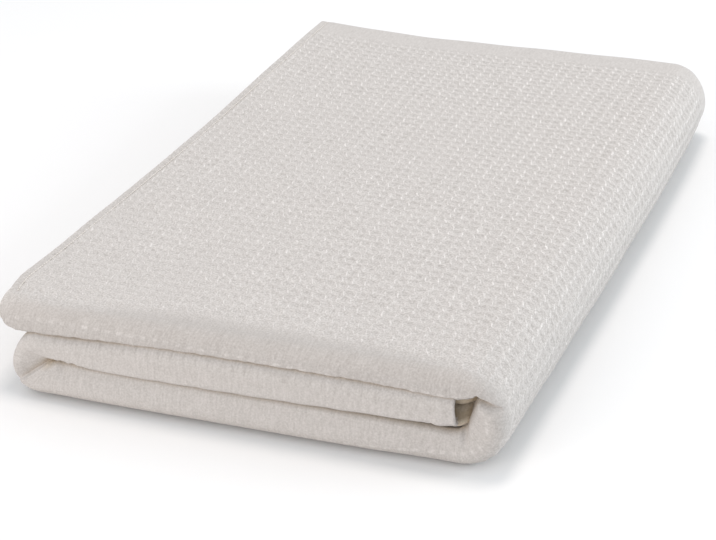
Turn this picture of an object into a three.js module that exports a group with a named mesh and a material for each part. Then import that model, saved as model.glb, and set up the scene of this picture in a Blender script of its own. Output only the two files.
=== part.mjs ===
// A waffle-weave bath towel, folded in three and lying flat.
// The towel is one cloth. Its top layer runs from a hemmed free edge on the left to the full-height
// right fold, the bottom layer comes back under it, the smaller left fold turns the cloth up again, and
// the middle layer ends in a hem just short of the right fold. The plain-woven borders along both ends
// of the packet are turned in, so each end shows three rounded bands.
// X runs across the folds, Y along them, Z up. The origin is under the middle, on the floor. Sizes in mm.

import * as THREE from 'three';

// Driving sizes of the cloth and of the folded packet
const CLOTH_THICKNESS = 3;
const PACKET_HEIGHT = 74.5;
const MIDDLE_LAYER_HEIGHT = 53;
const LEFT_FOLD_X = -186.7;
const MIDDLE_HEM_X = 174;
const FAR_FACE_Y = 338.5;
const MIDDLE_LAYER_LOFT = 8;
const MIDDLE_END_LOFT = 6.3;
const UNDERSIDE_LIFT = 2.4;
const LEFT_FOLD_SAG = 4;
const CORNER_LIFT_REACH = 70;

const HALF_CLOTH = CLOTH_THICKNESS / 2;
const RIGHT_FOLD_RADIUS = PACKET_HEIGHT / 2 - HALF_CLOTH;
const LEFT_FOLD_RADIUS = MIDDLE_LAYER_HEIGHT / 2 - HALF_CLOTH;
const RIGHT_FOLD_CENTRE_X = 175.75;
const LEFT_FOLD_CENTRE_X = LEFT_FOLD_X + MIDDLE_LAYER_HEIGHT / 2;
const TOP_LAYER_Z = PACKET_HEIGHT - HALF_CLOTH;
const BOTTOM_LAYER_Z = HALF_CLOTH;

// Place along the fold path, called fold in the tables: 0 is the top layer's free edge, 1 to 2 the right
// fold, 2 to 3 the bottom layer, 3 to 4 the left fold, and 5 the middle layer's hemmed end.

// The top layer's free edge, from the near corner to the far one, which lifts a little.
const topFreeEdge = [
  { y: -325, x: -194.5, lift: -1 },
  { y: -306, x: -196, lift: -1 },
  { y: -292, x: -199.2, lift: -0.5 },
  { y: -276, x: -201.2, lift: 0 },
  { y: -245, x: -201, lift: 0 },
  { y: -161, x: -202, lift: 0 },
  { y: -90, x: -202.5, lift: 0.5 },
  { y: 2, x: -204, lift: 1 },
  { y: 114, x: -207, lift: 4 },
  { y: 216, x: -210, lift: 6.6 },
  { y: 338, x: -212, lift: 9.7 },
];

// How far the right fold bulges out at its middle height, less where the far corner draws in.
const rightFoldReach = [
  { y: -320, bulge: 35.2 },
  { y: -200, bulge: 36 },
  { y: -60, bulge: 37.5 },
  { y: 100, bulge: 37.5 },
  { y: 250, bulge: 35.2 },
  { y: 338, bulge: 31.5 },
];

// The turned-in border at the near end. face is the outer surface's Y, round the radius of its shoulder,
// and edgeX and edgeZ are where the border's edge ends. Its last stretch leans inwards by lean.
const nearRim = [
  { fold: 0.00, face: -321.8, round: 22, edgeX: -193.8, edgeZ: 57.6, lean: 0 },
  { fold: 0.02, face: -323.2, round: 19, edgeX: -191, edgeZ: 55, lean: 0 },
  { fold: 0.05, face: -324.6, round: 16, edgeX: -182, edgeZ: 53.8, lean: 0 },
  { fold: 0.14, face: -325.4, round: 13, edgeX: -148, edgeZ: 55.8, lean: 0 },
  { fold: 0.27, face: -325.0, round: 13, edgeX: -100, edgeZ: 58.4, lean: 0 },
  { fold: 0.53, face: -322.8, round: 13, edgeX: -4, edgeZ: 59.8, lean: 0 },
  { fold: 0.82, face: -319.8, round: 13, edgeX: 106, edgeZ: 60, lean: 0 },
  { fold: 0.95, face: -318.7, round: 13, edgeX: 156, edgeZ: 57.8, lean: 0 },
  { fold: 1.00, face: -318.2, round: 12, edgeX: 174.8, edgeZ: 57.2, lean: 0 },
  { fold: 1.08, face: -318.0, round: 11, edgeX: 181.5, edgeZ: 57.8, lean: 0 },
  { fold: 1.15, face: -318.0, round: 10, edgeX: 187.5, edgeZ: 58.2, lean: 0 },
  { fold: 1.21, face: -318.0, round: 10, edgeX: 190.5, edgeZ: 56.4, lean: 0.5 },
  { fold: 1.27, face: -318.2, round: 10, edgeX: 189.6, edgeZ: 53.2, lean: 2 },
  { fold: 1.40, face: -318.8, round: 10, edgeX: 186.4, edgeZ: 47, lean: 4 },
  { fold: 1.60, face: -320.0, round: 11, edgeX: 183.6, edgeZ: 40.5, lean: 6 },
  { fold: 1.80, face: -320.4, round: 11, edgeX: 180.6, edgeZ: 34.5, lean: 6.5 },
  { fold: 2.00, face: -320.8, round: 12, edgeX: 174, edgeZ: 31, lean: 6.5 },
  { fold: 2.22, face: -326.6, round: 12, edgeX: 101, edgeZ: 33.5, lean: 8.5 },
  { fold: 2.50, face: -330.9, round: 12, edgeX: 7, edgeZ: 33, lean: 10 },
  { fold: 2.75, face: -334.5, round: 12, edgeX: -76.5, edgeZ: 32.5, lean: 10.5 },
  { fold: 2.92, face: -336.0, round: 12, edgeX: -133.5, edgeZ: 33, lean: 10.5 },
  { fold: 3.00, face: -335.8, round: 11, edgeX: -146.5, edgeZ: 31.8, lean: 10 },
  { fold: 3.25, face: -334.4, round: 9, edgeX: -148.6, edgeZ: 32, lean: 10 },
  { fold: 3.50, face: -332.4, round: 9, edgeX: -149.6, edgeZ: 32.6, lean: 9 },
  { fold: 3.75, face: -330.2, round: 10, edgeX: -149, edgeZ: 33.4, lean: 6 },
  { fold: 4.00, face: -329.6, round: 10, edgeX: -147.5, edgeZ: 34.2, lean: 0 },
  { fold: 4.08, face: -329.5, round: 10, edgeX: -133.5, edgeZ: 33.5, lean: -1 },
  { fold: 4.20, face: -328.6, round: 10, edgeX: -93, edgeZ: 31.5, lean: -1 },
  { fold: 4.50, face: -326.6, round: 10, edgeX: 6.5, edgeZ: 32, lean: -1 },
  { fold: 4.84, face: -323.2, round: 10, edgeX: 119.5, edgeZ: 34.4, lean: -1 },
  { fold: 4.97, face: -322.4, round: 10, edgeX: 164, edgeZ: 35.8, lean: -1 },
  { fold: 5.00, face: -322.0, round: 10, edgeX: 176.5, edgeZ: 36.4, lean: 0 },
];

// The same at the far end, where face is measured back from FAR_FACE_Y.
const farRim = [
  { fold: 0.00, face: 4, round: 9, edgeX: -207, edgeZ: 70, lean: 0 },
  { fold: 0.03, face: 1.5, round: 9, edgeX: -198, edgeZ: 64, lean: 0 },
  { fold: 0.10, face: 0, round: 9, edgeX: -172, edgeZ: 58, lean: 0 },
  { fold: 0.40, face: 0, round: 9, edgeX: -57, edgeZ: 59, lean: 0 },
  { fold: 0.80, face: 0, round: 10, edgeX: 97, edgeZ: 58, lean: 0 },
  { fold: 1.00, face: 1.5, round: 12, edgeX: 174.8, edgeZ: 57.2, lean: 0 },
  { fold: 1.15, face: 3.5, round: 15, edgeX: 185, edgeZ: 58, lean: 2 },
  { fold: 1.30, face: 4, round: 17, edgeX: 186, edgeZ: 51, lean: 4 },
  { fold: 1.60, face: 3, round: 16, edgeX: 182.6, edgeZ: 40.5, lean: 7 },
  { fold: 2.00, face: 0, round: 11, edgeX: 174.8, edgeZ: 32.5, lean: 12 },
  { fold: 2.50, face: -1, round: 10, edgeX: 7, edgeZ: 33, lean: 13 },
  { fold: 2.92, face: 0, round: 10, edgeX: -133.5, edgeZ: 31.5, lean: 12 },
  { fold: 3.00, face: 1, round: 10, edgeX: -150, edgeZ: 25.5, lean: 11 },
  { fold: 3.25, face: 2, round: 10, edgeX: -152, edgeZ: 26.4, lean: 9 },
  { fold: 3.50, face: 3, round: 10, edgeX: -153, edgeZ: 28.6, lean: 7 },
  { fold: 3.75, face: 3, round: 10, edgeX: -152, edgeZ: 30.8, lean: 4 },
  { fold: 4.00, face: 3, round: 10, edgeX: -150, edgeZ: 31.8, lean: 0 },
  { fold: 4.08, face: 3, round: 10, edgeX: -133.5, edgeZ: 31, lean: 0 },
  { fold: 4.50, face: 2, round: 10, edgeX: 6.5, edgeZ: 31, lean: 0 },
  { fold: 5.00, face: 3, round: 10, edgeX: 173, edgeZ: 33, lean: 0 },
];

// Tucks take up the cloth where a border turns in round a fold. Each is a trough that starts at its
// mouth on the outside of the fold and deepens to its root at the border's edge. Its two banks reach
// the widths named above and below.
const tucks = [
  { end: 'near', mouthX: 208, mouthZ: 48, rootX: 190.5, rootZ: 56.8, depth: 9, above: 3, below: 4.5 },
  { end: 'near', mouthX: -177, mouthZ: 38, rootX: -149, rootZ: 34, depth: 6, above: 2.5, below: 6 },
  { end: 'near', mouthX: -181, mouthZ: 11, rootX: -149, rootZ: 32, depth: 12, above: 5, below: 3 },
  { end: 'far', mouthX: 202, mouthZ: 50, rootX: 186, rootZ: 55, depth: 8, above: 3, below: 5 },
  { end: 'far', mouthX: -181, mouthZ: 18, rootX: -152, rootZ: 29, depth: 9, above: 5, below: 3 },
];

// Soft swells and hollows of the top layer.
const topSwells = [
  { x: -120, y: -210, reachX: 90, reachY: 80, rise: -0.8 },
  { x: 40, y: -120, reachX: 100, reachY: 120, rise: 0.7 },
  { x: -60, y: 90, reachX: 110, reachY: 90, rise: -1.1 },
  { x: 110, y: 190, reachX: 90, reachY: 110, rise: 0.6 },
];

// How many strips the cloth is divided into along the fold path, and rows across it
const stretches = [
  { from: 0, to: 0.06, strips: 3 },
  { from: 0.06, to: 1, strips: 12 },
  { from: 1, to: 1.4, strips: 10 },
  { from: 1.4, to: 2, strips: 9 },
  { from: 2, to: 2.9, strips: 10 },
  { from: 2.9, to: 3.1, strips: 3 },
  { from: 3.1, to: 3.9, strips: 12 },
  { from: 3.9, to: 4.1, strips: 4 },
  { from: 4.1, to: 4.94, strips: 10 },
  { from: 4.94, to: 5, strips: 3 },
];
const SHOULDER_ROWS = 5;
const FACE_ROWS = 4;
const FLAT_ROWS = 11;

function mix(a, b, share) {
  return a + (b - a) * share;
}

// Slope of one column at a row of a table, chosen so that the curve through the rows never overshoots.
function slopeAt(rows, key, column, i) {
  if (i === 0 || i === rows.length - 1) {
    return 0;
  }
  const before = (rows[i][column] - rows[i - 1][column]) / (rows[i][key] - rows[i - 1][key]);
  const after = (rows[i + 1][column] - rows[i][column]) / (rows[i + 1][key] - rows[i][key]);
  return before * after > 0 ? (2 * before * after) / (before + after) : 0;
}

// Reads every column of a table at one value of its key column, smoothly between its rows.
function readTable(rows, key, value) {
  const last = rows.length - 1;
  if (value <= rows[0][key]) {
    return rows[0];
  }
  if (value >= rows[last][key]) {
    return rows[last];
  }
  const next = rows.findIndex((row) => row[key] >= value);
  const before = rows[next - 1];
  const after = rows[next];
  const step = after[key] - before[key];
  const share = (value - before[key]) / step;
  const ease = share * share * (3 - 2 * share);
  const result = {};
  for (const column of Object.keys(before)) {
    const leaving = slopeAt(rows, key, column, next - 1) * step;
    const arriving = slopeAt(rows, key, column, next) * step;
    const bend = share * (1 - share) * (leaving * (1 - share) - arriving * share);
    result[column] = mix(before[column], after[column], ease) + bend;
  }
  return result;
}

// Height of the top layer's middle surface.
function topLayerZ(x, y) {
  const edge = readTable(topFreeEdge, 'y', y);
  let z = TOP_LAYER_Z + edge.lift * Math.exp(-Math.max(x - edge.x, 0) / CORNER_LIFT_REACH);
  for (const swell of topSwells) {
    const away = ((x - swell.x) / swell.reachX) ** 2 + ((y - swell.y) / swell.reachY) ** 2;
    z += swell.rise * Math.exp(-away);
  }
  return z;
}

// How far the middle layer rises above its height at the packet's ends.
function middleLoft(y) {
  const share = Math.min(Math.abs(y) / FAR_FACE_Y, 1);
  return MIDDLE_LAYER_LOFT * (1 - share ** 4) ** 2;
}

// How much higher the middle layer lies at the ends than in the left fold, so that it fills the packet.
function middleEndLoft(fold, y) {
  const raised = THREE.MathUtils.smoothstep(fold, 4.02, 4.35) - 0.4 * THREE.MathUtils.smoothstep(fold, 4.65, 4.9);
  return MIDDLE_END_LOFT * raised * (1 - middleLoft(y) / MIDDLE_LAYER_LOFT);
}

// How far the bottom layer leaves the floor towards the packet's ends.
function undersideLift(y) {
  return UNDERSIDE_LIFT * THREE.MathUtils.smoothstep(Math.abs(y), 292, 324);
}

// The cloth's middle surface in the section across the packet at Y, without its turned-in borders.
function sectionPoint(fold, y) {
  const loft = middleLoft(y);
  const lift = undersideLift(y);
  if (fold <= 1) {
    const x = mix(readTable(topFreeEdge, 'y', y).x, RIGHT_FOLD_CENTRE_X, fold);
    return { x, z: topLayerZ(x, y) };
  }
  if (fold <= 2) {
    const angle = Math.PI * (fold - 1);
    const rise = topLayerZ(RIGHT_FOLD_CENTRE_X, y) - TOP_LAYER_Z;
    const x = RIGHT_FOLD_CENTRE_X + readTable(rightFoldReach, 'y', y).bulge * Math.sin(angle);
    const z = BOTTOM_LAYER_Z + (RIGHT_FOLD_RADIUS + rise / 2) * (1 + Math.cos(angle));
    return { x, z: z + (lift * (1 - Math.cos(angle))) / 2 };
  }
  if (fold <= 3) {
    return { x: mix(RIGHT_FOLD_CENTRE_X, LEFT_FOLD_CENTRE_X, fold - 2), z: BOTTOM_LAYER_Z + lift };
  }
  if (fold <= 4) {
    const angle = Math.PI * (fold - 3);
    const sag = LEFT_FOLD_SAG * Math.sin(angle) * Math.cos(angle);
    const x = LEFT_FOLD_CENTRE_X - LEFT_FOLD_RADIUS * Math.sin(angle) ** 0.9 - sag;
    const z = BOTTOM_LAYER_Z + (LEFT_FOLD_RADIUS + loft / 2) * (1 - Math.cos(angle));
    return { x, z: z + (lift * (1 + Math.cos(angle))) / 2 };
  }
  const x = mix(LEFT_FOLD_CENTRE_X, MIDDLE_HEM_X, fold - 4);
  return { x, z: BOTTOM_LAYER_Z + 2 * LEFT_FOLD_RADIUS + loft + middleEndLoft(fold, y) };
}

// How far the tucks push the cloth into the packet at one place of a turned-in border.
function tuckDepth(end, x, z) {
  let depth = 0;
  for (const tuck of tucks.filter((one) => one.end === end)) {
    const runX = tuck.rootX - tuck.mouthX;
    const runZ = tuck.rootZ - tuck.mouthZ;
    const run = ((x - tuck.mouthX) * runX + (z - tuck.mouthZ) * runZ) / (runX ** 2 + runZ ** 2);
    const along = THREE.MathUtils.clamp(run, 0, 1);
    const awayX = x - tuck.mouthX - along * runX;
    const awayZ = z - tuck.mouthZ - along * runZ;
    const bank = awayZ > 0 ? tuck.above : tuck.below;
    depth += tuck.depth * along * Math.exp(-((Math.hypot(awayX, awayZ) / bank) ** 2));
  }
  return depth;
}

// The outward direction of a layer, square to the cloth.
function layerOutward(fold, y) {
  const before = sectionPoint(Math.max(fold - 1e-3, 0), y);
  const after = sectionPoint(Math.min(fold + 1e-3, 5), y);
  const nearer = sectionPoint(fold, y - 1);
  const further = sectionPoint(fold, y + 1);
  const alongFold = new THREE.Vector3(after.x - before.x, 0, after.z - before.z);
  const alongWidth = new THREE.Vector3(further.x - nearer.x, 2, further.z - nearer.z);
  return alongFold.cross(alongWidth).normalize();
}

// A place on a turned-in border: turned runs from 0 at the flat of the layer to 1 at the border's edge.
function rimPlace(end, fold, turned) {
  const near = end === 'near';
  const row = readTable(near ? nearRim : farRim, 'fold', fold);
  const inwards = near ? 1 : -1;
  const faceY = near ? row.face + HALF_CLOTH : FAR_FACE_Y - row.face - HALF_CLOTH;
  const flatEndY = faceY + inwards * row.round;
  const start = sectionPoint(fold, flatEndY);
  const depth = Math.hypot(row.edgeX - start.x, row.edgeZ - start.z);
  const round = Math.min(row.round, depth * 0.9);
  const arc = (round * Math.PI) / 2;
  const travelled = turned * (arc + depth - round);
  const angle = Math.min(travelled / round, Math.PI / 2);
  const out = row.round * Math.sin(angle);
  const down = round * (1 - Math.cos(angle)) + Math.max(travelled - arc, 0);
  const share = down / depth;
  const x = mix(start.x, row.edgeX, share);
  const z = mix(start.z, row.edgeZ, share);
  const tucked = THREE.MathUtils.smoothstep(turned, 0, 0.5) * tuckDepth(end, x, z);
  const point = new THREE.Vector3(x, flatEndY + inwards * (row.lean * share ** 2 + tucked - out), z);
  const outward = layerOutward(fold, flatEndY).multiplyScalar(Math.cos(angle));
  outward.y -= inwards * Math.sin(angle);
  return { point, outward: outward.normalize() };
}

// A place on the flat between the borders: across runs from 0 at the near one to 1 at the far one.
function flatPlace(fold, across) {
  const near = readTable(nearRim, 'fold', fold);
  const far = readTable(farRim, 'fold', fold);
  const nearY = near.face + HALF_CLOTH + near.round;
  const farY = FAR_FACE_Y - far.face - HALF_CLOTH - far.round;
  const y = mix(nearY, farY, across);
  const { x, z } = sectionPoint(fold, y);
  return { point: new THREE.Vector3(x, y, z), outward: layerOutward(fold, y) };
}

// A place on the cloth's middle surface, with its outward direction. width runs from -1 at the near
// border's edge through 0 and 1, where the flat begins and ends, to 2 at the far border's edge.
function clothPlace(fold, width) {
  if (width < 0) {
    return rimPlace('near', fold, -width);
  }
  if (width > 1) {
    return rimPlace('far', fold, width - 1);
  }
  return flatPlace(fold, width);
}

// Lines of the grid along the fold path.
function foldLines() {
  const lines = [0];
  for (const stretch of stretches) {
    for (let i = 1; i <= stretch.strips; i += 1) {
      lines.push(mix(stretch.from, stretch.to, i / stretch.strips));
    }
  }
  return lines;
}

// Lines of the grid across the cloth, closer together round the shoulders.
function widthLines() {
  const rim = [];
  for (let i = 0; i < FACE_ROWS; i += 1) {
    rim.push(1 - (0.45 * i) / FACE_ROWS);
  }
  for (let i = 0; i < SHOULDER_ROWS; i += 1) {
    rim.push(0.55 * (1 - i / SHOULDER_ROWS));
  }
  const flat = [];
  for (let i = 0; i <= FLAT_ROWS; i += 1) {
    flat.push(i / FLAT_ROWS);
  }
  return [...rim.map((turned) => -turned), ...flat, ...rim.reverse().map((turned) => 1 + turned)];
}

// The closed solid: the outer and inner surfaces, half a thickness either side, and a wall round the edge.
function clothGeometry() {
  const folds = foldLines();
  const widths = widthLines();
  const rows = widths.length;
  const outer = [];
  const inner = [];
  for (const fold of folds) {
    for (const width of widths) {
      const { point, outward } = clothPlace(fold, width);
      outer.push(...point.clone().addScaledVector(outward, HALF_CLOTH).toArray());
      inner.push(...point.clone().addScaledVector(outward, -HALF_CLOTH).toArray());
    }
  }
  const count = folds.length * rows;
  const index = [];
  const quad = (a, b, c, d) => index.push(a, b, c, a, c, d);
  for (let i = 0; i < folds.length - 1; i += 1) {
    for (let j = 0; j < rows - 1; j += 1) {
      const a = i * rows + j;
      quad(a, a + rows, a + rows + 1, a + 1);
      quad(count + a, count + a + 1, count + a + rows + 1, count + a + rows);
    }
  }
  const rim = [];
  for (let i = 0; i < folds.length - 1; i += 1) {
    rim.push(i * rows);
  }
  for (let j = 0; j < rows - 1; j += 1) {
    rim.push((folds.length - 1) * rows + j);
  }
  for (let i = folds.length - 1; i > 0; i -= 1) {
    rim.push(i * rows + rows - 1);
  }
  for (let j = rows - 1; j > 0; j -= 1) {
    rim.push(j);
  }
  rim.forEach((from, k) => {
    const to = rim[(k + 1) % rim.length];
    quad(from, count + from, count + to, to);
  });
  const geometry = new THREE.BufferGeometry();
  geometry.setAttribute('position', new THREE.Float32BufferAttribute([...outer, ...inner], 3));
  geometry.setIndex(index);
  geometry.computeVertexNormals();
  return geometry;
}

// Off-white cotton
const cotton = new THREE.MeshStandardMaterial({ color: 0xdcd7d0, roughness: 0.95, metalness: 0 });

const towel = new THREE.Mesh(clothGeometry(), cotton);
towel.name = 'towel';

const group = new THREE.Group();
group.add(towel);

export default group;
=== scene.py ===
# The looks of a bath towel in waffle-weave cotton, folded in three and lying flat.
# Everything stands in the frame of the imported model, in metres. Cloth sizes are written in millimetres,
# as they are cut and sewn, and become metres where a mesh is made.
import math

import bpy
import numpy as np
from mathutils import Matrix


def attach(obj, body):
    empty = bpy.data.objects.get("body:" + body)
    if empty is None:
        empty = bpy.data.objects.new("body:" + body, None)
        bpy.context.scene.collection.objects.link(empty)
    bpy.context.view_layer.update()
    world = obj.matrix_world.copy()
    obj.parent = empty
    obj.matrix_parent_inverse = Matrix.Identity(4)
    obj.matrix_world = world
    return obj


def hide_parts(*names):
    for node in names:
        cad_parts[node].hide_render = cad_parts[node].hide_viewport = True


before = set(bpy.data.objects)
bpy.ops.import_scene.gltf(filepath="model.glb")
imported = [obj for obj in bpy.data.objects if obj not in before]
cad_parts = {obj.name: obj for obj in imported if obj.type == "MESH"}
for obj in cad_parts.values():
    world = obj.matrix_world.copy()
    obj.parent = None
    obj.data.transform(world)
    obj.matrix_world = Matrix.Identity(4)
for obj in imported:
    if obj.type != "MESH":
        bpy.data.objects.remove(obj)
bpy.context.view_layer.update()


# The towel.
# One length of undyed cotton, about 0.72 by 1.25 m, woven in a square waffle with plain borders down both
# long sides. It is folded in three, and the borders are turned in at both ends of the packet.

MM = 0.001
CLOTH_THICKNESS = 3.0
PACKET_HEIGHT = 74.5
MIDDLE_LAYER_HEIGHT = 53.0
LEFT_FOLD_X = -186.7
MIDDLE_HEM_X = 174.0
FAR_FACE_Y = 338.5
MIDDLE_LAYER_LOFT = 8.0
MIDDLE_BORDER_LOFT = 6.3
UNDERSIDE_LIFT = 2.4
LEFT_FOLD_SAG = 4.0
CORNER_LIFT_REACH = 70.0
HALF_CLOTH = CLOTH_THICKNESS / 2
RIGHT_FOLD_RADIUS = PACKET_HEIGHT / 2 - HALF_CLOTH
LEFT_FOLD_RADIUS = MIDDLE_LAYER_HEIGHT / 2 - HALF_CLOTH
RIGHT_FOLD_CENTRE_X = 175.75
LEFT_FOLD_CENTRE_X = LEFT_FOLD_X + MIDDLE_LAYER_HEIGHT / 2
TOP_LAYER_Z = PACKET_HEIGHT - HALF_CLOTH
BOTTOM_LAYER_Z = HALF_CLOTH


def table(columns, *rows):
    return dict(zip(columns.split(), np.array(rows, float).T))


# The fold column is the place along the fold path: 0 is the top layer's free edge, 1 to 2 the right fold,
# 2 to 3 the bottom layer, 3 to 4 the left fold, and 5 the middle layer's hemmed end.
top_free_edge = table(
    "y x lift",
    (-325, -194.5, -1), (-306, -196, -1), (-292, -199.2, -0.5), (-276, -201.2, 0),
    (-245, -201, 0), (-161, -202, 0), (-90, -202.5, 0.5), (2, -204, 1),
    (114, -207, 4), (216, -210, 6.6), (338, -212, 9.7),
)
right_fold_reach = table(
    "y bulge",
    (-320, 35.2), (-200, 36), (-60, 37.5), (100, 37.5), (250, 35.2), (338, 31.5),
)

# The turned-in borders: face is the outer surface's place in Y, measured back from FAR_FACE_Y at the far
# end, round the radius of the shoulder, edge_x and edge_z the border's edge, and lean its slant inwards.
turned_borders = {
    "near": table(
        "fold face round edge_x edge_z lean",
        (0.00, -321.8, 22, -193.8, 57.6, 0), (0.02, -323.2, 19, -191, 55, 0),
        (0.05, -324.6, 16, -182, 53.8, 0), (0.14, -325.4, 13, -148, 55.8, 0),
        (0.27, -325.0, 13, -100, 58.4, 0), (0.53, -322.8, 13, -4, 59.8, 0),
        (0.82, -319.8, 13, 106, 60, 0), (0.95, -318.7, 13, 156, 57.8, 0),
        (1.00, -318.2, 12, 174.8, 57.2, 0), (1.08, -318.0, 11, 181.5, 57.8, 0),
        (1.15, -318.0, 10, 187.5, 58.2, 0), (1.21, -318.0, 10, 190.5, 56.4, 0.5),
        (1.27, -318.2, 10, 189.6, 53.2, 2), (1.40, -318.8, 10, 186.4, 47, 4),
        (1.60, -320.0, 11, 183.6, 40.5, 5.5), (1.80, -320.4, 11, 180.6, 34.5, 6.0),
        (2.00, -320.8, 12, 174.0, 31, 3.8), (2.22, -326.6, 12, 101, 33.5, 4.8),
        (2.50, -330.9, 12, 7, 33, 7), (2.75, -334.5, 12, -76.5, 32.5, 9),
        (2.92, -336.0, 12, -133.5, 33, 10), (3.00, -335.8, 11, -146.5, 31.8, 9),
        (3.25, -334.4, 9, -148.6, 32, 5), (3.50, -332.4, 9, -149.6, 32.6, 4),
        (3.75, -330.2, 10, -149, 33.4, 3), (4.00, -329.6, 10, -147.5, 34.2, 0),
        (4.08, -329.5, 10, -133.5, 33.5, -1), (4.20, -328.6, 10, -93, 31, -1),
        (4.50, -326.6, 10, 6.5, 32, -1), (4.84, -323.2, 10, 119.5, 34.4, -1),
        (4.97, -322.4, 10, 164, 35.8, -1), (5.00, -322.0, 10, 176.5, 36.4, 0),
    ),
    "far": table(
        "fold face round edge_x edge_z lean",
        (0.00, 4, 9, -207, 70, 0), (0.03, 1.5, 9, -198, 64, 0), (0.10, 0, 9, -172, 58, 0),
        (0.40, 0, 9, -57, 59, 0), (0.80, 0, 10, 97, 58, 0), (1.00, 1.5, 12, 174.8, 57.2, 0),
        (1.15, 3.5, 15, 185, 58, 2), (1.30, 4, 17, 186, 51, 4), (1.60, 3, 16, 182.6, 40.5, 7),
        (2.00, 0, 11, 174.8, 32.5, 12), (2.50, -1, 10, 7, 33, 13), (2.92, 0, 10, -133.5, 31.5, 12),
        (3.00, 1, 10, -150, 25.5, 11), (3.25, 2, 10, -152, 26.4, 9), (3.50, 3, 10, -153, 28.6, 7),
        (3.75, 3, 10, -152, 30.8, 4), (4.00, 3, 10, -150, 31.8, 0), (4.08, 3, 10, -133.5, 31, 0),
        (4.50, 2, 10, 6.5, 31, 0), (5.00, 3, 10, 173, 33, 0),
    ),
}

# Where a border turns in round the left fold, the cloth between two creases is drawn in like the side of a
# wrapped parcel. The upper crease is the lip of the middle band, the lower one the lip of the bottom band.
parcel_tuck = {
    "near": table(
        "x upper_z lower_z depth",
        (-186, 42.5, 7.0, 0.5), (-178, 41.0, 12.5, 5.5), (-171, 39.6, 17.0, 8.5), (-163, 37.8, 22.6, 10.0),
        (-155, 35.4, 28.4, 10.0), (-148, 33.6, 32.0, 8.0), (-141, 33.4, 32.8, 0),
    ),
    "far": table(
        "x upper_z lower_z depth",
        (-184, 40.0, 12.0, 0), (-178, 38.5, 14.5, 0.4), (-171, 37.0, 18.0, 1.8), (-163, 35.4, 22.6, 3.8),
        (-155, 33.6, 27.6, 6.0), (-147, 32.2, 31.4, 6.0), (-140, 32.0, 31.9, 0),
    ),
}

# Short pleats pressed into the borders: each starts at its mouth, deepens to its root, and has two banks.
pleats = {
    "near": table(
        "mouth_x mouth_z root_x root_z depth above below",
        (209.5, 50.2, 191.0, 61.0, 8.5, 1.1, 3.4),
        (-137, 18, -140.5, 33.5, 5.0, 2.2, 2.2),
        (-128, 25, -131, 34, 2.2, 1.5, 1.5),
        (183.5, 20, 181, 37, 4.5, 2.4, 2.4),
        (172, 25, 170.5, 35, 1.3, 1.8, 1.8),
    ),
    "far": table(
        "mouth_x mouth_z root_x root_z depth above below",
        (202, 50, 187, 57, 6.0, 1.2, 4.0),
        (-120, 18, -122, 33, 1.8, 2.2, 2.2),
    ),
}
top_swells = table(
    "x y reach_x reach_y rise",
    (-120, -210, 90, 80, -0.8), (40, -120, 100, 120, 0.7),
    (-60, 90, 110, 90, -1.1), (110, 190, 90, 110, 0.6),
)


def mix(a, b, share):
    return a + (b - a) * share


def smooth(start, end, at):
    share = np.clip((at - start) / (end - start), 0, 1)
    return share**2 * (3 - 2 * share)


# One column of a table at places of its first column, along a curve through the rows.
def read_table(rows, column, at):
    key = rows[next(iter(rows))]
    value = rows[column]
    step = np.diff(key)
    rate = np.diff(value) / step
    before, after = rate[:-1], rate[1:]
    steady = before * after > 0
    slope = np.zeros(len(key))
    slope[1:-1][steady] = 2 * before[steady] * after[steady] / (before + after)[steady]
    at = np.clip(at, key[0], key[-1])
    i = np.clip(np.searchsorted(key, at) - 1, 0, len(step) - 1)
    share = (at - key[i]) / step[i]
    ease = share**2 * (3 - 2 * share)
    leaving = slope[i] * step[i]
    arriving = slope[i + 1] * step[i]
    bend = share * (1 - share) * (leaving * (1 - share) - arriving * share)
    return value[i] + (value[i + 1] - value[i]) * ease + bend


def top_layer_z(x, y):
    past_edge = np.maximum(x - read_table(top_free_edge, "x", y), 0)
    z = TOP_LAYER_Z + read_table(top_free_edge, "lift", y) * np.exp(-past_edge / CORNER_LIFT_REACH)
    for at_x, at_y, reach_x, reach_y, rise in zip(*top_swells.values()):
        z = z + rise * np.exp(-(((x - at_x) / reach_x) ** 2) - ((y - at_y) / reach_y) ** 2)
    return z


# The middle layer lies higher in the packet's body than in the left fold, most of all away from the ends.
def middle_loft(y):
    share = np.minimum(np.abs(y) / FAR_FACE_Y, 1)
    return MIDDLE_LAYER_LOFT * (1 - share**4) ** 2


# Towards its ends it lies as high as there, to fill the packet, and a little lower by its hem.
def border_loft(fold, y):
    raised = smooth(4.02, 4.35, fold) - 0.15 * smooth(4.65, 4.9, fold)
    return MIDDLE_BORDER_LOFT * raised * (1 - middle_loft(y) / MIDDLE_LAYER_LOFT)


# The bottom layer leaves the floor a little towards the packet's ends.
def underside_lift(y):
    return UNDERSIDE_LIFT * smooth(292, 324, np.abs(y))


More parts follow.
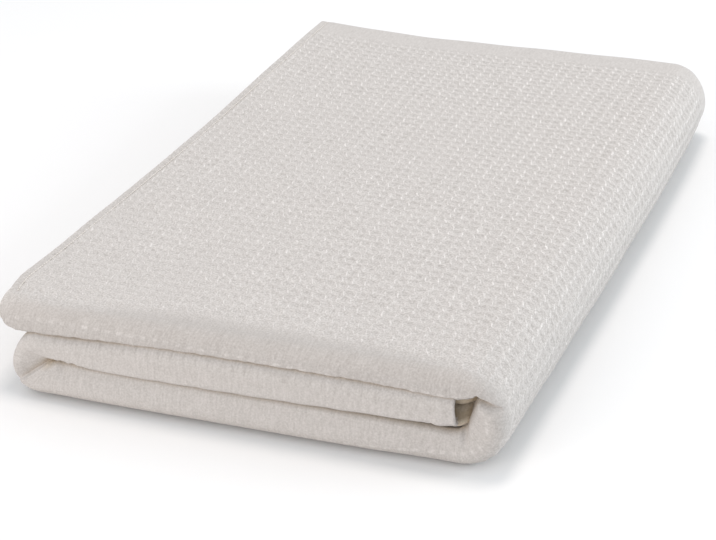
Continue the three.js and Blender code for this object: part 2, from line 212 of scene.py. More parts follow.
# The cloth's middle surface in the section across the packet at Y, without its turned-in borders.
def section_point(fold, y):
    fold, y = np.broadcast_arrays(fold, y)
    loft = middle_loft(y)
    lift = underside_lift(y)
    top_x = mix(read_table(top_free_edge, "x", y), RIGHT_FOLD_CENTRE_X, np.clip(fold, 0, 1))
    top_z = top_layer_z(top_x, y)
    right = math.pi * np.clip(fold - 1, 0, 1)
    right_x = RIGHT_FOLD_CENTRE_X + read_table(right_fold_reach, "bulge", y) * np.sin(right)
    rise = top_layer_z(np.full_like(y, RIGHT_FOLD_CENTRE_X), y) - TOP_LAYER_Z
    right_z = BOTTOM_LAYER_Z + (RIGHT_FOLD_RADIUS + rise / 2) * (1 + np.cos(right))
    right_z = right_z + lift * (1 - np.cos(right)) / 2
    bottom_x = mix(RIGHT_FOLD_CENTRE_X, LEFT_FOLD_CENTRE_X, fold - 2)
    left = math.pi * np.clip(fold - 3, 0, 1)
    sine = np.maximum(np.sin(left), 0)
    left_x = LEFT_FOLD_CENTRE_X - LEFT_FOLD_RADIUS * sine**0.9 - LEFT_FOLD_SAG * sine * np.cos(left)
    left_z = BOTTOM_LAYER_Z + (LEFT_FOLD_RADIUS + loft / 2) * (1 - np.cos(left))
    left_z = left_z + lift * (1 + np.cos(left)) / 2
    middle_x = mix(LEFT_FOLD_CENTRE_X, MIDDLE_HEM_X, fold - 4)
    middle_z = BOTTOM_LAYER_Z + 2 * LEFT_FOLD_RADIUS + loft + border_loft(fold, y)
    stretch = [fold <= 1, fold <= 2, fold <= 3, fold <= 4]
    x = np.select(stretch, [top_x, right_x, bottom_x, left_x], middle_x)
    z = np.select(stretch, [top_z, right_z, BOTTOM_LAYER_Z + lift, left_z], middle_z)
    return x, z


def layer_outward(fold, y):
    before_x, before_z = section_point(np.maximum(fold - 1e-3, 0), y)
    after_x, after_z = section_point(np.minimum(fold + 1e-3, 5), y)
    nearer_x, nearer_z = section_point(fold, y - 1)
    further_x, further_z = section_point(fold, y + 1)
    along_fold = np.stack([after_x - before_x, 0 * after_x, after_z - before_z], -1)
    along_width = np.stack([further_x - nearer_x, 2 + 0 * after_x, further_z - nearer_z], -1)
    outward = np.cross(along_fold, along_width)
    return outward / np.linalg.norm(outward, axis=-1, keepdims=True)


def tuck_depth(end, x, z):
    upper_z = read_table(parcel_tuck[end], "upper_z", x)
    lower_z = read_table(parcel_tuck[end], "lower_z", x)
    drawn_in = read_table(parcel_tuck[end], "depth", x)
    down = np.clip((upper_z - z) / (upper_z - lower_z), 0, 1)
    depth = drawn_in * (0.12 + 0.88 * down)
    depth = depth * smooth(lower_z - 0.2, lower_z + 0.6, z) * smooth(upper_z + 0.3, upper_z - 0.7, z)
    for mouth_x, mouth_z, root_x, root_z, deep, above, below in zip(*pleats[end].values()):
        run_x = root_x - mouth_x
        run_z = root_z - mouth_z
        along = np.clip(((x - mouth_x) * run_x + (z - mouth_z) * run_z) / (run_x**2 + run_z**2), 0, 1)
        away_x = x - mouth_x - along * run_x
        away_z = z - mouth_z - along * run_z
        bank = np.where(away_z > 0, above, below)
        depth = depth + deep * along**0.7 * np.exp(-(np.hypot(away_x, away_z) / bank) ** 2)
    return depth


# Where the flat of a layer ends and its turned-in border begins.
def flat_end_y(end, fold):
    rows = turned_borders[end]
    face = read_table(rows, "face", fold)
    inset = HALF_CLOTH + read_table(rows, "round", fold)
    return face + inset if end == "near" else FAR_FACE_Y - face - inset


# The border's edge turns under in a tight curl and runs on inside the packet, where it isn't seen. The
# columns are how far the edge reaches past its place in the solid, and how the hidden part drifts.
CURL = 1.8
HIDDEN_RUN = 15.0
turned_under = table(
    "fold reach drift_x drift_z",
    (0, 1.2, 2, 0), (0.03, 2.8, 1, 0), (0.14, 4.0, 0, 0), (0.27, 3.8, 0, 0),
    (0.45, 2.6, 0, 0), (0.95, 2.4, 0, 0), (1.1, 0.8, -2, 0), (1.3, -0.8, -6, 0), (1.6, -0.8, -5, 0),
    (2, -0.5, 0, -6), (2.85, 0.2, 0, -7), (2.98, 0.9, 4, -6), (3.5, 1.0, 6, 0), (3.95, 1.2, 4, 5),
    (4.1, 1.0, 0, 6), (4.5, 0.2, 0, 6), (5, 0.0, 0, 6),
)


# The borders are a little uneven along the flats, and pulled smooth round the folds.
unevenness = table(
    "fold share",
    (0, 1), (0.96, 1), (1.06, 0.1), (1.94, 0.1), (2.06, 1),
    (2.84, 1), (2.96, 0.1), (4.04, 0.1), (4.16, 1), (5, 1),
)


# A place on a turned-in border, its outward direction, and the cloth travelled since the flat, in mm.
# turned runs from 0 to 1 round the shoulder and down the face, and from 1 to 2 under and inwards.
def border_place(end, fold, turned):
    fold, turned = np.broadcast_arrays(fold, turned)
    rows = turned_borders[end]
    inwards = 1 if end == "near" else -1
    flat_y = flat_end_y(end, fold)
    shoulder = read_table(rows, "round", fold)
    edge_x = read_table(rows, "edge_x", fold)
    edge_z = read_table(rows, "edge_z", fold)
    start_x, start_z = section_point(fold, flat_y)
    uneven = read_table(unevenness, "share", fold)
    wobble = 0.2 * np.sin(fold * 61) + 0.12 * np.sin(fold * 143 + 1) + 0.08 * np.sin(fold * 260 + 2)
    wobble = uneven * wobble
    reach = read_table(turned_under, "reach", fold) - HALF_CLOTH + wobble
    depth = np.hypot(edge_x - start_x, edge_z - start_z) + reach
    way_x = (edge_x - start_x) / (depth - reach)
    way_z = (edge_z - start_z) / (depth - reach)
    fitted = np.minimum(shoulder, (depth - CURL) * 0.9)
    arc = fitted * math.pi / 2
    on_face = np.minimum(turned, 1) * (arc + depth - CURL - fitted)
    angle = np.minimum(on_face / fitted, math.pi / 2)
    under = np.maximum(turned - 1, 0) * (CURL * math.pi / 2 + HIDDEN_RUN)
    curl = np.minimum(under / CURL, math.pi / 2)
    hidden = np.maximum(under - CURL * math.pi / 2, 0)
    out = shoulder * np.sin(angle)
    down = fitted * (1 - np.cos(angle)) + np.maximum(on_face - arc, 0) + CURL * np.sin(curl)
    share = down / depth
    drift_x = read_table(turned_under, "drift_x", fold) * (hidden / HIDDEN_RUN) ** 1.5
    drift_z = read_table(turned_under, "drift_z", fold) * (hidden / HIDDEN_RUN) ** 1.5
    x = start_x + way_x * down
    z = start_z + way_z * down
    tucked = smooth(0, 0.3, turned) * tuck_depth(end, x, z)
    lean = read_table(rows, "lean", fold) * share**2
    pinch = 0.22 * np.sin(fold * 118 + 3) + 0.2 * np.sin(fold * 203) + 0.15 * np.sin(fold * 331 + 1)
    puckered = uneven * pinch * (0.2 + 0.8 * smooth(0.5, 0.95, turned)) * smooth(0, 0.4, turned)
    inset = lean + tucked + puckered - out + CURL * (1 - np.cos(curl)) + hidden
    point = np.stack([x + drift_x, flat_y + inwards * inset, z + drift_z], -1)
    outward = layer_outward(fold, flat_y) * np.cos(angle)[..., None]
    outward[..., 1] -= inwards * np.sin(angle)
    outward = outward * np.cos(curl)[..., None]
    outward[..., 0] += way_x * np.sin(curl)
    outward[..., 2] += way_z * np.sin(curl)
    return point, outward / np.linalg.norm(outward, axis=-1, keepdims=True), on_face + under


def flat_place(fold, y):
    x, z = section_point(fold, y)
    return np.stack([x, np.broadcast_to(y, x.shape), z], -1), layer_outward(fold, y)


# The waffle is counted in cells of 10.2 mm, 58 of them between the two plain borders. Lines of the mesh
# follow the cells: four to a cell along the fold path and two across it, and fewer on the hidden side.
CELL = 10.2
WAFFLE_NEAR_Y = -295.0
WAFFLE_FAR_Y = 299.0
WAFFLE_ROWS = 58
TOP_LAYER_CELLS = 37
layers_along = table(
    "start end cells lines inside_step",
    (0, 1, TOP_LAYER_CELLS, 148, 4), (1, 1.3636, 4, 44, 2), (1.3636, 2, 7, 42, 3),
    (2, 2.9, 29.7, 24, 2), (2.9, 3, 3.3, 6, 2), (3, 4, 8, 80, 4),
    (4, 4.15, 4.95, 10, 2), (4.15, 4.91, 25.08, 24, 2), (4.91, 5, 2.97, 14, 1),
)


def lines_along():
    fold = [0.0]
    cells = [0.0]
    kept_inside = [True]
    done = 0.0
    for start, end, count, lines, step in zip(*layers_along.values()):
        for i in range(1, int(lines) + 1):
            fold.append(mix(start, end, i / lines))
            cells.append(done + count * i / lines)
            kept_inside.append(i % step == 0)
        done += count
    return np.array(fold), np.array(cells), np.array(kept_inside)


fold_line, cell_along, inside_along = lines_along()

near_turned = np.concatenate([np.linspace(2, 1, 7)[:-1], np.linspace(1, 0, 41)[:-1]])
far_turned = np.concatenate([np.linspace(0, 1, 17)[1:], np.linspace(1, 2, 5)[1:]])
near_flat = np.linspace(0, 1, 5)[:-1]
far_flat = np.linspace(0, 1, 5)[1:]
waffle_row = np.linspace(0, WAFFLE_ROWS, 2 * WAFFLE_ROWS + 1)

fold_at = fold_line[:, None]
near_y = flat_end_y("near", fold_at)
far_y = flat_end_y("far", fold_at)
waffle_y = mix(WAFFLE_NEAR_Y, WAFFLE_FAR_Y, waffle_row / WAFFLE_ROWS)[None, :] + 0 * fold_at
near_points, near_outward, near_travelled = border_place("near", fold_at, near_turned[None, :])
far_points, far_outward, far_travelled = border_place("far", fold_at, far_turned[None, :])
near_flat_y = mix(near_y, WAFFLE_NEAR_Y, near_flat)
far_flat_y = mix(WAFFLE_FAR_Y, far_y, far_flat)
flat_y = np.concatenate([near_flat_y, waffle_y, far_flat_y], 1)
flat_points, flat_outward = flat_place(fold_at, flat_y)
middle = np.concatenate([near_points, flat_points, far_points], 1)
outward = np.concatenate([near_outward, flat_outward, far_outward], 1)
cloth_y = np.concatenate([near_y - near_travelled, flat_y, far_y + far_travelled], 1)
cell_across = (cloth_y - WAFFLE_NEAR_Y) / (WAFFLE_FAR_Y - WAFFLE_NEAR_Y) * WAFFLE_ROWS
cell_along = np.broadcast_to(cell_along[:, None], cell_across.shape)
inside_across = np.ones(cell_across.shape[1], bool)
first_row = len(near_turned) + len(near_flat)
inside_across[first_row:first_row + len(waffle_row)] = waffle_row % 1 == 0


# Uneven handwork: a sum of slow waves of one rough length in cells, the same every time.
def wander(seed, length):
    waves = np.random.default_rng(seed)
    total = np.zeros(cell_across.shape)
    for _ in range(9):
        way = waves.uniform(0, math.tau)
        tightness = math.tau / (length * waves.uniform(0.7, 1.5))
        phase = waves.uniform(0, math.tau)
        total += np.sin((cell_along * math.cos(way) + cell_across * math.sin(way)) * tightness + phase)
    return total / 3


# Waffle relief: float threads stand up round every cell, highest halfway along each side, and the middle is
# sunken. It fades in over about two rows at the near border and one and a half at the far one, and a hem
# presses it flatter.
RIDGE_HEIGHT = 0.6
PIT_DEPTH = 0.5
TOP_HEM_WIDTH = 6.5
MIDDLE_HEM_CELL = 120.5
waffle_begins = table(
    "fold row",
    (0, -1.4), (0.08, -1.45), (0.13, -1.4), (0.22, -1.1), (0.29, -0.7), (0.35, -0.3), (0.43, 0.0),
    (0.8, 0.0), (0.95, -0.5), (1.06, -0.9), (1.3, -0.7), (1.42, -0.9), (1.5, -1.4), (1.62, -1.7),
    (2, -1.8), (3, -1.8), (3.5, -1.8), (4, -1.7), (5, -1.7),
)
fold_all = np.broadcast_to(fold_at, cell_across.shape)
begins = read_table(waffle_begins, "row", fold_all)
flat_on_hem = 0.7 + 0.3 * smooth(TOP_HEM_WIDTH - 1, TOP_HEM_WIDTH + 1.5, cell_along * CELL)
waffle = smooth(begins - 1.2, begins + 1.0, cell_across)
waffle = waffle * smooth(WAFFLE_ROWS + 0.6, WAFFLE_ROWS - 0.9, cell_across)
waffle = waffle * flat_on_hem * (1 - smooth(MIDDLE_HEM_CELL - 0.5, MIDDLE_HEM_CELL + 0.1, cell_along))
ridge_along = np.abs(cell_along % 1 * 2 - 1)
ridge_across = np.abs(cell_across % 1 * 2 - 1)
slope = 0.6 * np.maximum(ridge_along, ridge_across) ** 1.5
float_across = np.exp(-(((1 - ridge_along) / 0.4) ** 2)) * (0.6 + 0.4 * (1 - ridge_across**2))
float_along = np.exp(-(((1 - ridge_across) / 0.4) ** 2)) * (0.45 + 0.4 * (1 - ridge_along**2))
relief = mix(-PIT_DEPTH, RIDGE_HEIGHT, np.maximum(slope, np.maximum(float_across, float_along)))
relief = relief * (1 + 0.18 * wander(3, 2.3)) + 0.10 * wander(5, 1.4)
relief = waffle * relief + 0.25 * wander(8, 9) * smooth(0, 4, cell_across)
stitch_groove = np.exp(-(((cell_along * CELL - TOP_HEM_WIDTH) / 1.6) ** 2))
relief = relief - 0.2 * stitch_groove
middle_hem = smooth(MIDDLE_HEM_CELL, MIDDLE_HEM_CELL + 0.2, cell_along)
middle_groove = np.exp(-(((cell_along - MIDDLE_HEM_CELL) * CELL / 1.3) ** 2))
relief = relief + 0.35 * middle_hem - 0.5 * middle_groove
relief = np.where((fold_all > 2) & (fold_all < 3), np.minimum(relief, 0), relief)


# A cloth is closed round its edge by a half-round, so that no edge shows as a cut. The hidden side keeps
# only the rows and columns it is given. source is the grid place that each point of the mesh comes from.
def closed_cloth(middle, outward, above, below, rows_kept, columns_kept):
    rows, columns = middle.shape[:2]
    grid = np.arange(rows * columns).reshape(rows, columns)
    outer = (middle + outward * above[..., None]).reshape(-1, 3)
    inner = (middle - outward * below).reshape(-1, 3)
    kept = grid[rows_kept][:, columns_kept]

    def edge_loop(places, down, right):
        loop = np.concatenate([places[:-1, 0], places[-1, :-1], places[:0:-1, -1], places[0, :0:-1]])
        way = np.concatenate([down[:-1], 1 + right[:-1], 3 - down[:0:-1], 4 - right[:0:-1]])
        return loop, np.append(way, 4)

    def grid_faces(places):
        corners = [places[:-1, :-1], places[1:, :-1], places[1:, 1:], places[:-1, 1:]]
        return np.stack(corners, -1).reshape(-1, 4)

    down = np.linspace(0, 1, rows)
    right = np.linspace(0, 1, columns)
    loop, outer_way = edge_loop(grid, down, right)
    centre = middle.reshape(-1, 3)[loop]
    up = outer[loop] - centre
    out = np.cross(np.roll(centre, -1, 0) - np.roll(centre, 1, 0), up)
    out = out / np.linalg.norm(out, axis=1, keepdims=True) * below
    turns = (0.6, 1.2, 1.9)
    edge = [centre + up * math.cos(t) + out * math.sin(t) for t in turns]
    points = np.concatenate([outer, *edge, inner[kept.ravel()]])
    source = np.concatenate([grid.ravel(), *[loop] * len(turns), kept.ravel()])
    count = len(loop)
    rings = [loop] + [rows * columns + k * count + np.arange(count) for k in range(len(turns))]
    faces = grid_faces(grid).tolist()
    for upper, lower in zip(rings[:-1], rings[1:]):
        faces += np.stack([upper, lower, np.roll(lower, -1), np.roll(upper, -1)], 1).tolist()
    kept_grid = np.arange(kept.size).reshape(kept.shape) + rows * columns + len(turns) * count
    faces += grid_faces(kept_grid)[:, ::-1].tolist()
    lower, lower_way = edge_loop(kept_grid, down[rows_kept], right[columns_kept])
    upper = rings[-1]
    i = j = 0
    while i < len(upper) or j < len(lower):
        a, b = int(upper[i % len(upper)]), int(lower[j % len(lower)])
        if j == len(lower) or (i < len(upper) and outer_way[i + 1] <= lower_way[j + 1]):
            i += 1
            faces.append([a, b, int(upper[i % len(upper)])])
        else:
            j += 1
            faces.append([a, b, int(lower[j % len(lower)])])
    return points * MM, faces, source


cloth_points, faces, source = closed_cloth(
    middle, outward, HALF_CLOTH + relief, HALF_CLOTH, inside_along, inside_across
)
cloth_points[:, 2] = np.maximum(cloth_points[:, 2], 0)


def new_piece(name, points, corners, material):
    mesh = bpy.data.meshes.new(name)
    mesh.from_pydata(points.tolist(), [], corners)
    mesh.shade_smooth()
    mesh.materials.append(material)
    piece = bpy.data.objects.new(name, mesh)
    bpy.context.scene.collection.objects.link(piece)
    return piece


def linear(hex_code):
    parts = [int(hex_code[i:i + 2], 16) / 255 for i in (1, 3, 5)]
    return [c / 12.92 if c <= 0.04045 else ((c + 0.055) / 1.055) ** 2.4 for c in parts] + [1.0]


# Adds a node of one kind with its settings. Inputs are values or links, by name or in order, and the output
# that comes back is given by name or number.
def add(tree, kind, inputs=(), output=0, **settings):
    node = tree.nodes.new("ShaderNode" + kind)
    for name, value in settings.items():
        setattr(node, name, value)
    for name, value in inputs.items() if isinstance(inputs, dict) else enumerate(inputs):
        if isinstance(value, bpy.types.NodeSocket):
            tree.links.new(value, node.inputs[name])
        else:
            node.inputs[name].default_value = value
    return node.outputs[output] if node.outputs else node


# Undyed cotton, loosely spun: matt and a little hairy. Its colour carries painted light and shade. In each
# waffle cell a pale slanting stroke is a painted highlight where one bundle of floats would catch the
# light, the next bundle, which lies flatter beside it, has a fainter painted highlight, and the sunken
# middle is made greyer with painted shade. Threads are 0.6 mm apart in the cloth and drawn 1.3 mm apart, so
# that they show.
# Deep in the folds light goes from cloth to cloth before it comes out, and there the colour is darkened and
# browned with painted shade, by how sheltered the place is, and more on the border ends in the right fold's
# hollow. The plain border is lightened with painted light on the inner layers, and is lighter at the far
# end.
# The painted light and shade of the cells are stronger towards the right and far side, fainter near the
# front.
# The places where this changes are counted in cells along and across the cloth.
def waffle_cotton():
    material = bpy.data.materials.new("undyed waffle-weave cotton")
    material.use_nodes = True
    tree = material.node_tree
    tree.nodes.clear()
    place = add(tree, "Attribute", output="Vector", attribute_name="cloth_place")
    raised = add(tree, "SeparateXYZ", [place], 2)
    across = add(tree, "SeparateXYZ", [place], 1)
    body = add(tree, "TexCoord", output="Object")

    drift = add(tree, "TexNoise", {"Vector": place, "Scale": 1.3, "Detail": 2.0}, "Color")
    drift = add(tree, "VectorMath", [drift, (0.5, 0.5, 0.5)], operation="SUBTRACT")
    drawn = add(tree, "VectorMath", [drift, (0.55, 0.55, 0), place], operation="MULTIPLY_ADD")

    moved = add(tree, "VectorMath", [drawn, (0.5, 0.0, 0.0)], operation="ADD")
    cell = add(tree, "VectorMath", [moved], operation="FRACTION")
    number = add(tree, "VectorMath", [moved], operation="FLOOR")
    chance = add(tree, "TexWhiteNoise", {"Vector": number}, noise_dimensions="2D")
    stroke = add(tree, "Mapping", {
        "Vector": cell, "Location": (0.5, 0.48, 0),
        "Rotation": (0, 0, math.radians(111)), "Scale": (0.60, 0.085, 9),
    }, vector_type="TEXTURE")
    stroke = add(tree, "VectorMath", [stroke], "Value", operation="LENGTH")
    stroke = add(tree, "MapRange", {0: stroke, 1: 1.0, 2: 0.3}, interpolation_type="SMOOTHSTEP")

    cell = add(tree, "VectorMath", [drawn, (0.05, 0.24, 0.0)], operation="ADD")
    cell = add(tree, "VectorMath", [cell], operation="FRACTION")
    flat_float = add(tree, "Mapping", {
        "Vector": cell, "Location": (0.5, 0.5, 0),
        "Rotation": (0, 0, math.radians(-38)), "Scale": (0.46, 0.12, 9),
    }, vector_type="TEXTURE")
    flat_float = add(tree, "VectorMath", [flat_float], "Value", operation="LENGTH")
    flat_float = add(tree, "MapRange", {0: flat_float, 1: 1.0, 2: 0.2}, interpolation_type="SMOOTHSTEP")

    cell = add(tree, "VectorMath", [drawn, (0.07, 0.68, 0.0)], operation="ADD")
    cell = add(tree, "VectorMath", [cell], operation="FRACTION")
    pit = add(tree, "Mapping", {
        "Vector": cell, "Location": (0.5, 0.5, 0),
        "Rotation": (0, 0, math.radians(-20)), "Scale": (0.52, 0.30, 9),
    }, vector_type="TEXTURE")
    pit = add(tree, "VectorMath", [pit], "Value", operation="LENGTH")
    pit = add(tree, "MapRange", {0: pit, 1: 1.1, 2: 0.1}, interpolation_type="SMOOTHSTEP")

    # Painted light: the cells' painted highlight and painted shade grow stronger towards the right and the
    # far side of the top, and fainter in the first rows at the near end.
    painted_light_strength = add(tree, "VectorMath", [place, (0.0086, 0.0066, 0)], "Value", operation="DOT_PRODUCT")
    painted_light_strength = add(tree, "MapRange", {0: painted_light_strength, 1: -0.05, 2: 0.65, 3: 0.48, 4: 1.15})
    near_rows = add(tree, "MapRange", {0: across, 1: -2.0, 2: 8.0, 3: 0.6, 4: 1.0})
    painted_light_strength = add(tree, "Math", [painted_light_strength, near_rows], operation="MULTIPLY")
    lint = add(tree, "TexNoise", {"Vector": body, "Scale": 700.0, "Detail": 2.0, "Roughness": 0.6})
    lint = add(tree, "MapRange", {0: lint, 1: 0.3, 2: 0.7, 3: -1.0, 4: 1.0})
    mottle = add(tree, "Mapping", {"Vector": place, "Scale": (0.5, 0.5, 0)})
    mottle = add(tree, "TexNoise", {"Vector": mottle, "Scale": 1.0, "Detail": 2.0})
    mottle = add(tree, "MapRange", {0: mottle, 1: 0.3, 2: 0.7, 3: -1.0, 4: 1.0})
    slubs = add(tree, "Mapping", {"Vector": place, "Scale": (6.0, 0.9, 0)})
    slubs = add(tree, "TexNoise", {"Vector": slubs, "Scale": 1.0, "Detail": 1.0})
    slubs = add(tree, "MapRange", {0: slubs, 1: 0.3, 2: 0.7, 3: -1.0, 4: 1.0})

    # Painted light: the stroke is a painted highlight, stronger or fainter at random from cell to cell, the
    # flatter float a fainter painted highlight, and the pit painted shade.
    shine = add(tree, "Math", [chance, 0.18, 0.24], operation="MULTIPLY_ADD")
    waffle_level = add(tree, "Math", [stroke, shine], operation="MULTIPLY")
    waffle_level = add(tree, "Math", [flat_float, 0.14, waffle_level], operation="MULTIPLY_ADD")
    waffle_level = add(tree, "Math", [pit, -0.11, waffle_level], operation="MULTIPLY_ADD")
    waffle_level = add(tree, "Math", [waffle_level, painted_light_strength, 0.42], operation="MULTIPLY_ADD")
    waffle_level = add(tree, "Math", [lint, 0.23, waffle_level], operation="MULTIPLY_ADD")

    last_row = add(tree, "Math", [across, 3.0], operation="ADD")
    last_row = add(tree, "Math", [last_row], operation="ABSOLUTE")
    between = add(tree, "SeparateXYZ", [moved], 0)
    between = add(tree, "Math", [between, 0.5], operation="PINGPONG")
    dash = add(tree, "MapRange", {0: last_row, 1: 0.19, 2: 0.05}, interpolation_type="SMOOTHSTEP")
    wide = add(tree, "MapRange", {0: between, 1: 0.18, 2: 0.34}, interpolation_type="SMOOTHSTEP")
    along = add(tree, "SeparateXYZ", [place], 0)
    middle_layer = add(tree, "MapRange", {0: along, 1: 86.0, 2: 92.0})
    # Painted light: the plain border of the inner layers is lightened, so that the lower bands at the front
    # look as brightly lit as the top band.
    inner_band_painted_light = add(tree, "MapRange", {0: along, 1: 39.0, 2: 45.0, 3: 0.0, 4: 0.07})
    dash = add(tree, "Math", [dash, wide], operation="MULTIPLY")
    dash = add(tree, "Mix", {0: middle_layer, 2: dash, 3: 0.0})
    glint = add(tree, "Math", [chance, 0.12, 0.05], operation="MULTIPLY_ADD")
    far_border = add(tree, "MapRange", {0: across, 1: 50.0, 2: 56.0, 3: 0.25, 4: 0.40})
    plain_level = add(tree, "Math", [far_border, inner_band_painted_light], operation="ADD")
    plain_level = add(tree, "Math", [dash, glint, plain_level], operation="MULTIPLY_ADD")
    # Painted shade: short narrow dark marks along a row of the middle layer's near border stand in for the
    # shade in small puckers there.
    painted_pucker_shade = add(tree, "MapRange", {0: last_row, 1: 0.42, 2: 0.1}, interpolation_type="SMOOTHSTEP")
    narrow = add(tree, "MapRange", {0: between, 1: 0.15, 2: 0.02}, interpolation_type="SMOOTHSTEP")
    painted_pucker_shade = add(tree, "Math", [painted_pucker_shade, narrow], operation="MULTIPLY")
    painted_pucker_shade = add(tree, "Math", [painted_pucker_shade, middle_layer], operation="MULTIPLY")
    plain_level = add(tree, "Math", [painted_pucker_shade, -0.08, plain_level], operation="MULTIPLY_ADD")
    plain_level = add(tree, "Math", [slubs, 0.05, plain_level], operation="MULTIPLY_ADD")
    plain_level = add(tree, "Math", [lint, 0.10, plain_level], operation="MULTIPLY_ADD")

    level = add(tree, "Mix", {0: raised, 2: plain_level, 3: waffle_level})
    level = add(tree, "Math", [mottle, 0.015, level], operation="MULTIPLY_ADD")
    tone = add(tree, "Mix", {0: level, 6: linear("#938d88"), 7: linear("#e4e0dd")}, 2, data_type="RGBA")
    # Painted shade: where the cloth is sheltered within 20 mm, its colour is darkened and browned, fading
    # out in the last millimetres above the floor.
    painted_crease_shade = add(tree, "AmbientOcclusion", {"Distance": 0.02}, "AO", samples=6)
    painted_crease_shade = add(tree, "MapRange", {0: painted_crease_shade, 1: 0.7, 2: 0.18}, interpolation_type="SMOOTHSTEP")
    off_floor = add(tree, "SeparateXYZ", [body], 2)
    off_floor = add(tree, "MapRange", {0: off_floor, 1: 0.004, 2: 0.014})
    painted_crease_shade = add(tree, "Math", [painted_crease_shade, off_floor], operation="MULTIPLY")
    tone = add(tree, "Mix", {
        0: painted_crease_shade, 6: tone, 7: linear("#f8efe0"),
    }, 2, data_type="RGBA", blend_type="MULTIPLY")
    # Painted shade: cloth that lies past -5.8 cells across, the hidden turned-under borders and the border
    # ends in the right fold's hollow, is painted darker and browner.
    deep = add(tree, "MapRange", {0: across, 1: -5.8, 2: -7.2})
    tone = add(tree, "Mix", {
        0: deep, 6: tone, 7: linear("#fbf0dc"),
    }, 2, data_type="RGBA", blend_type="MULTIPLY")

    twist = add(tree, "Mapping", {"Vector": place, "Scale": (8.0, 8.0, 0)})
    twist = add(tree, "TexNoise", {"Vector": twist, "Scale": 1.0, "Detail": 1.0})
    height = add(tree, "Math", [stroke, 0.8, 0.0], operation="MULTIPLY_ADD")
    height = add(tree, "Math", [flat_float, 0.4, height], operation="MULTIPLY_ADD")
    height = add(tree, "Math", [pit, -0.5, height], operation="MULTIPLY_ADD")
    height = add(tree, "Math", [height, raised], operation="MULTIPLY")
    height = add(tree, "Math", [twist, 0.35, height], operation="MULTIPLY_ADD")
    bump = add(tree, "Bump", {"Height": height, "Strength": 0.6, "Distance": 0.5 * MM})
    shader = add(tree, "BsdfPrincipled", {
        "Base Color": tone, "Normal": bump, "Roughness": 0.92,
        "Specular IOR Level": 0.25, "Sheen Weight": 0.15, "Sheen Roughness": 0.6,
    })
    add(tree, "OutputMaterial", [shader])
    return material


def give_cloth_places(piece, places):
    attribute = piece.data.attributes.new("cloth_place", "FLOAT_VECTOR", "POINT")
    attribute.data.foreach_set("vector", places.astype(np.float32).ravel())


cotton = waffle_cotton()
towel = new_piece("waffle_towel", cloth_points, faces, cotton)
give_cloth_places(towel, np.stack([cell_along, cell_across, waffle], -1).reshape(-1, 3)[source])
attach(towel, "root")
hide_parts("towel")


# Border ends in the right fold.
# Where the borders meet inside the right fold, two short turned-in lengths of the same cloth lie behind the
# middle layer's hem: a roll under the top band, and the flap's own border below it.

border_end_sections = {
    "upper": table(
        "y z",
        (-299, 60.5), (-304, 60), (-308, 59), (-310.4, 57), (-311, 54), (-310.4, 51.2), (-308.6, 49.8),
        (-305, 49.4), (-299, 49.6),
    ),
    "lower": table(
        "y z",
        (-297, 46.2), (-302, 46.8), (-305.5, 46.2), (-307.6, 44.6), (-309.6, 42.0), (-313, 39.7),
        (-316.6, 38.2), (-317.4, 36.8), (-315.5, 35.4), (-308, 35.2),
    ),
}
border_end_stations = table(
    "x back lower_by",
    (166, 0, 0), (170, 0, 0), (174, 0, 0), (177, 0.6, -0.2), (180, 2.6, -0.6), (183, 6.5, -1.2),
    (186, 12.0, -2.0), (189, 18.0, -3.0), (192, 24.0, -4.0),
)


def border_end(section, follow):
    stations = border_end_stations
    x = stations["x"][:, None] + 0 * section["y"]
    y = section["y"] + stations["back"][:, None] * follow
    z = section["z"] - stations["lower_by"][:, None] * follow
    place = np.stack([x, y, z], -1)
    along = np.gradient(place, axis=0)
    down = np.gradient(place, axis=1)
    outward = np.cross(down, along)
    return place, outward / np.linalg.norm(outward, axis=-1, keepdims=True)


def finer(values, times):
    at = np.linspace(0, len(values) - 1, (len(values) - 1) * times + 1)
    number = table("row value", *[(i, 0) for i in range(len(values))])
    number["value"] = np.asarray(values, float)
    return read_table(number, "value", at)


border_end_stations = {name: finer(column, 4) for name, column in border_end_stations.items()}
for side, follow in (("upper", 0.55), ("lower", 1.0)):
    section = {name: finer(column, 4) for name, column in border_end_sections[side].items()}
    end_middle, end_outward = border_end(section, follow)
    every_row = np.ones(end_middle.shape[0], bool)
    every_column = np.ones(end_middle.shape[1], bool)
    end_points, end_faces, end_source = closed_cloth(
        end_middle, end_outward, np.full(end_middle.shape[:2], 1.0), 1.0, every_row, every_column
    )
    piece = new_piece(f"border_end_{side}", end_points, end_faces, cotton)
    end_along = end_middle[..., 0] / CELL
    steps = np.diff(end_middle, axis=1, prepend=end_middle[:, :1])
    # Their places across run on past -5.6 cells, which puts these pieces under the painted brown shade of
    # the hollow.
    end_across = -5.6 - np.cumsum(np.linalg.norm(steps, axis=-1), 1) / CELL
    end_places = np.stack([end_along, end_across, 0 * end_along], -1)
    give_cloth_places(piece, end_places.reshape(-1, 3)[end_source])
    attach(piece, "root")


# Hem stitches.
# The top layer's short end is hemmed with one row of undyed cotton thread, 3 mm to a stitch, through the
# folded edge. The other short end lies inside the packet, and its stitches aren't drawn.

STITCH_PITCH = 3.1
STITCH_LENGTH = 2.4
STITCH_WIDTH = 0.8
STITCH_SIDES = 6
stitch_rings = table("end girth", (-0.5, 0.35), (-0.25, 0.95), (0.25, 0.95), (0.5, 0.35))


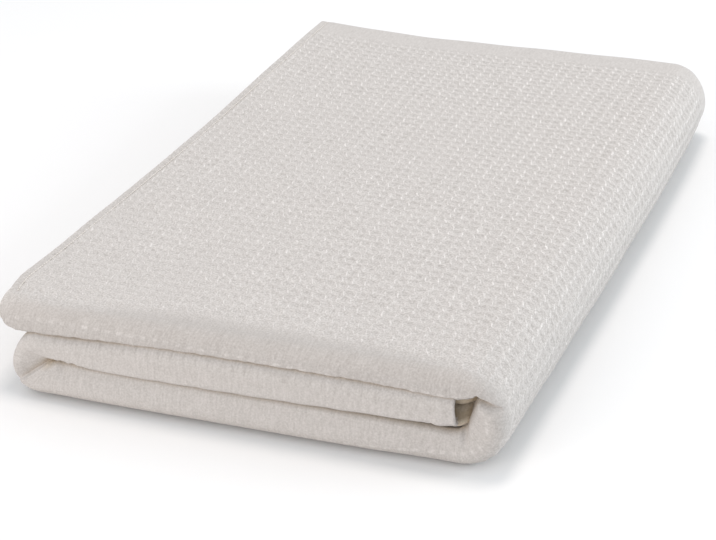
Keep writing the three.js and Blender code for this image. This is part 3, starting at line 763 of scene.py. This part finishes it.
def stitch_row(fold, first_y, last_y):
    number = int((last_y - first_y) / STITCH_PITCH)
    y = first_y + STITCH_PITCH * np.arange(number)
    x, z = section_point(np.full_like(y, fold), y)
    points = []
    corners = []
    rings = len(stitch_rings["end"])
    for k in range(number):
        for end, girth in zip(*stitch_rings.values()):
            for turn in range(STITCH_SIDES):
                angle = math.tau * turn / STITCH_SIDES
                points.append((
                    x[k] + STITCH_WIDTH * 0.5 * girth * math.cos(angle),
                    y[k] + STITCH_LENGTH * end,
                    z[k] + HALF_CLOTH + 0.15 + STITCH_WIDTH * 0.5 * girth * math.sin(angle),
                ))
        base = STITCH_SIDES * rings * k
        last = base + STITCH_SIDES * rings - 1
        for ring in range(rings - 1):
            for turn in range(STITCH_SIDES):
                a = base + STITCH_SIDES * ring + turn
                b = base + STITCH_SIDES * ring + (turn + 1) % STITCH_SIDES
                corners.append((a, a + STITCH_SIDES, b + STITCH_SIDES, b))
        corners.append([base + turn for turn in range(STITCH_SIDES)])
        corners.append([last - turn for turn in range(STITCH_SIDES)])
    return np.array(points), corners


def cotton_thread():
    material = bpy.data.materials.new("undyed cotton sewing thread")
    material.use_nodes = True
    tree = material.node_tree
    tree.nodes.clear()
    body = add(tree, "TexCoord", output="Object")
    twist = add(tree, "TexNoise", {"Vector": body, "Scale": 1500.0, "Detail": 1.0})
    tone = add(tree, "Mix", {0: twist, 6: linear("#c9c3ba"), 7: linear("#ece8e2")}, 2, data_type="RGBA")
    bump = add(tree, "Bump", {"Height": twist, "Strength": 0.5, "Distance": 0.2 * MM})
    shader = add(tree, "BsdfPrincipled", {
        "Base Color": tone, "Normal": bump, "Roughness": 0.7, "Sheen Weight": 0.2,
    })
    add(tree, "OutputMaterial", [shader])
    return material


stitch_points, stitch_corners = stitch_row(TOP_HEM_WIDTH / (TOP_LAYER_CELLS * CELL), -300, 330)
stitches = new_piece("hem_stitches", stitch_points * MM, stitch_corners, cotton_thread())
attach(stitches, "root")


# Floor, light and camera.
# A plain white studio floor in white surroundings. A small soft light hangs overhead, one stands at the
# right, and a low one stands in front.

def floor_paint():
    material = bpy.data.materials.new("matt white studio floor")
    material.use_nodes = True
    tree = material.node_tree
    tree.nodes.clear()
    shader = add(tree, "BsdfPrincipled", {
        "Base Color": linear("#e7e7e7"), "Roughness": 0.95, "Specular IOR Level": 0.0,
    })
    add(tree, "OutputMaterial", [shader])
    return material


FLOOR_REACH = 8.0
corner_points = FLOOR_REACH * np.array([(-1, -1, 0), (1, -1, 0), (1, 1, 0), (-1, 1, 0)])
floor = new_piece("floor", corner_points, [(0, 1, 2, 3)], floor_paint())

world = bpy.data.worlds.new("studio")
bpy.context.scene.world = world
world.use_nodes = True
world.node_tree.nodes["Background"].inputs["Color"].default_value = linear("#f7fbff")
world.node_tree.nodes["Background"].inputs["Strength"].default_value = 0.90


def stand(thing, right, up, place):
    bpy.context.scene.collection.objects.link(thing)
    columns = [right, up, np.cross(right, up), place]
    rows = [[float(column[i]) for column in columns] for i in range(3)]
    thing.matrix_world = Matrix(rows + [[0, 0, 0, 1]])


def soft_light(name, place, size, power, tint):
    light = bpy.data.lights.new(name, "AREA")
    light.shape = "SQUARE"
    light.size = size
    light.energy = power
    light.color = linear(tint)[:3]
    back = np.array(place) / np.linalg.norm(place)
    right = np.cross((0.0, 1.0, 0.0), back)
    right = right / np.linalg.norm(right)
    stand(bpy.data.objects.new(name, light), right, np.cross(back, right), place)


soft_light("key light overhead", (0.0, 0.4, 2.9), 0.8, 26.5, "#fff4ec")
soft_light("light from the right", (2.45, 0.75, 0.9), 1.3, 28, "#f4fbff")
soft_light("low light in front", (-1.0, -2.2, 0.4), 1.6, 33, "#fff5ee")

CAMERA_TURN = math.radians(24.4)
CAMERA_PITCH = math.radians(27.2)
CAMERA_ROLL = math.radians(-2.9)
level_right = np.array([math.cos(CAMERA_TURN), math.sin(CAMERA_TURN), 0])
level_ahead = np.array([-math.sin(CAMERA_TURN), math.cos(CAMERA_TURN), 0])
level_up = level_ahead * math.sin(CAMERA_PITCH) + np.array([0, 0, math.cos(CAMERA_PITCH)])
camera = bpy.data.objects.new("camera", bpy.data.cameras.new("camera"))
camera.data.lens = 82.96
camera.data.sensor_width = 36
stand(
    camera,
    math.cos(CAMERA_ROLL) * level_right + math.sin(CAMERA_ROLL) * level_up,
    math.cos(CAMERA_ROLL) * level_up - math.sin(CAMERA_ROLL) * level_right,
    (0.5206, -1.2285, 0.6613),
)
bpy.context.scene.camera = camera
bpy.context.scene.view_settings.view_transform = "Standard"
